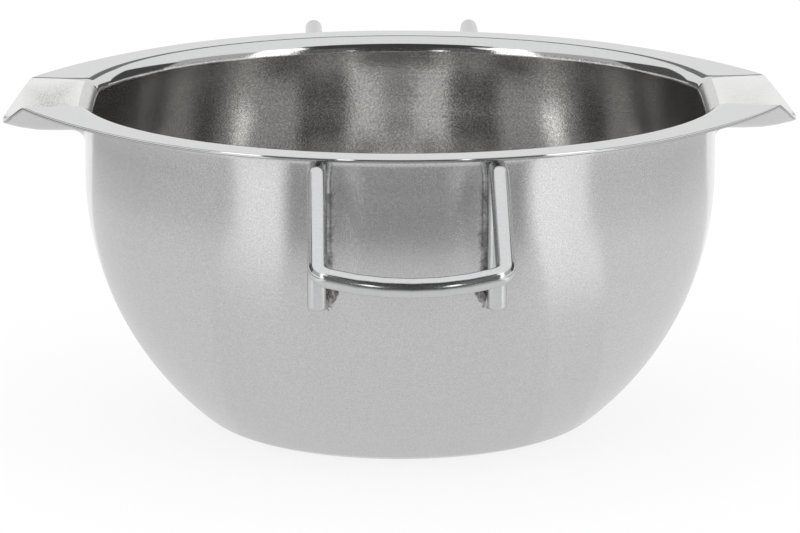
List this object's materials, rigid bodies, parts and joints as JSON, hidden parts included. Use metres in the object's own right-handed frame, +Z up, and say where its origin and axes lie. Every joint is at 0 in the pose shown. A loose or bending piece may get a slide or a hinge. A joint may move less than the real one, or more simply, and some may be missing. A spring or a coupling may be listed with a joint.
{
  "type": "bain-marie pot",
  "caption": "Small round-bottomed steel melting pot with a flat flange, V-shaped pouring spouts on opposite sides and welded wire loop handles that hang it in a saucepan.",
  "frame": {"origin": "centre of the flat base, on the surface that the pot stands on", "axes": "+Z up along the bowl's axis, X through the pouring spouts, Y through the handles with the front handle at -Y"},
  "size_m": [0.1386, 0.1901, 0.0586],
  "materials": {
    "bowl_steel": "satin stainless, with a polished flange",
    "handle_wire": "mirror polished stainless wire",
    "weld_metal": "bare weld bead"
  },
  "bodies": {
    "root": {"bowl": "bowl_steel", "front_handle": "handle_wire", "rear_handle": "handle_wire", "front_left_weld": "weld_metal", "front_right_weld": "weld_metal", "rear_left_weld": "weld_metal", "rear_right_weld": "weld_metal"}
  },
  "joints": []
}
